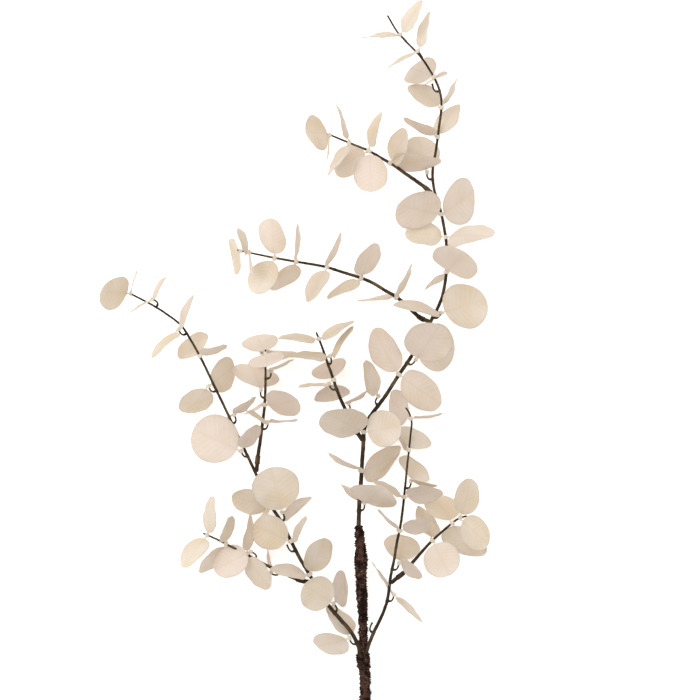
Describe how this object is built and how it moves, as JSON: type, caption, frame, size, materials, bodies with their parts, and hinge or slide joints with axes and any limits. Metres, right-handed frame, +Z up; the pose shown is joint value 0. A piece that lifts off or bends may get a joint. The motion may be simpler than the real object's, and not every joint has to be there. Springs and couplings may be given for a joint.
{
  "type": "artificial eucalyptus branch",
  "caption": "Long decorative eucalyptus branch lying flat: bark-wrapped stem, forked thin twigs with hooked prongs, and round beige fabric leaves threaded on in pairs.",
  "frame": {"origin": "centre of the bounding box in plan, at the surface that the branch lies on", "axes": "+Y along the branch from the cut end of the stem to the tip, +Z up from the surface, +X to the right when seen from above with the tip ahead"},
  "size_m": [0.449, 0.9028, 0.1015],
  "materials": {
    "leaf_fabric": "thin matte woven polyester, starched, cream to peach with paler edges and a soft printed midrib",
    "twig": "moulded plastic, dark olive brown, satin, slightly worn lighter along the ridges",
    "bark": "rough moulded bark, dark maroon brown with pale flecks"
  },
  "bodies": {
    "root": {"bark_sleeve_lower": "bark", "bark_sleeve_upper": "bark", "leader": "twig", "leaves_leader_1": "leaf_fabric", "leaves_leader_10": "leaf_fabric", "leaves_leader_12": "leaf_fabric", "leaves_leader_13": "leaf_fabric", "leaves_leader_16": "leaf_fabric", "leaves_leader_17": "leaf_fabric", "leaves_leader_2": "leaf_fabric", "leaves_leader_3": "leaf_fabric", "leaves_leader_5": "leaf_fabric", "leaves_leader_6": "leaf_fabric", "leaves_leader_7": "leaf_fabric", "leaves_leader_8": "leaf_fabric", "leaves_leader_9": "leaf_fabric", "leaves_limb_d_1": "leaf_fabric", "leaves_limb_d_10": "leaf_fabric", "leaves_limb_d_11": "leaf_fabric", "leaves_limb_d_12": "leaf_fabric", "leaves_limb_d_2": "leaf_fabric", "leaves_limb_d_3": "leaf_fabric", "leaves_limb_d_5": "leaf_fabric", "leaves_limb_d_6": "leaf_fabric", "leaves_limb_d_7": "leaf_fabric", "leaves_limb_d_8": "leaf_fabric", "leaves_limb_e_3": "leaf_fabric", "leaves_limb_e_5": "leaf_fabric", "leaves_limb_e_6": "leaf_fabric", "leaves_limb_e_7": "leaf_fabric", "leaves_twig_a_1": "leaf_fabric", "leaves_twig_a_3": "leaf_fabric", "leaves_twig_a_4": "leaf_fabric", "leaves_twig_b_1": "leaf_fabric", "leaves_twig_b_2": "leaf_fabric", "leaves_twig_b_3": "leaf_fabric", "leaves_twig_b_4": "leaf_fabric", "leaves_twig_b_5": "leaf_fabric", "leaves_twig_c_2": "leaf_fabric", "leaves_twig_c_4": "leaf_fabric", "leaves_twig_c_5": "leaf_fabric", "leaves_twig_d1_3": "leaf_fabric", "leaves_twig_d1_4": "leaf_fabric", "leaves_twig_d1_5": "leaf_fabric", "leaves_twig_d2_2": "leaf_fabric", "leaves_twig_e1_1": "leaf_fabric", "leaves_twig_e1_2": "leaf_fabric", "leaves_twig_e1_3": "leaf_fabric", "limb_d": "twig", "limb_e": "twig", "twig_a": "twig", "twig_b": "twig", "twig_c": "twig", "twig_d1": "twig", "twig_d2": "twig", "twig_e1": "twig"}
  },
  "joints": []
}
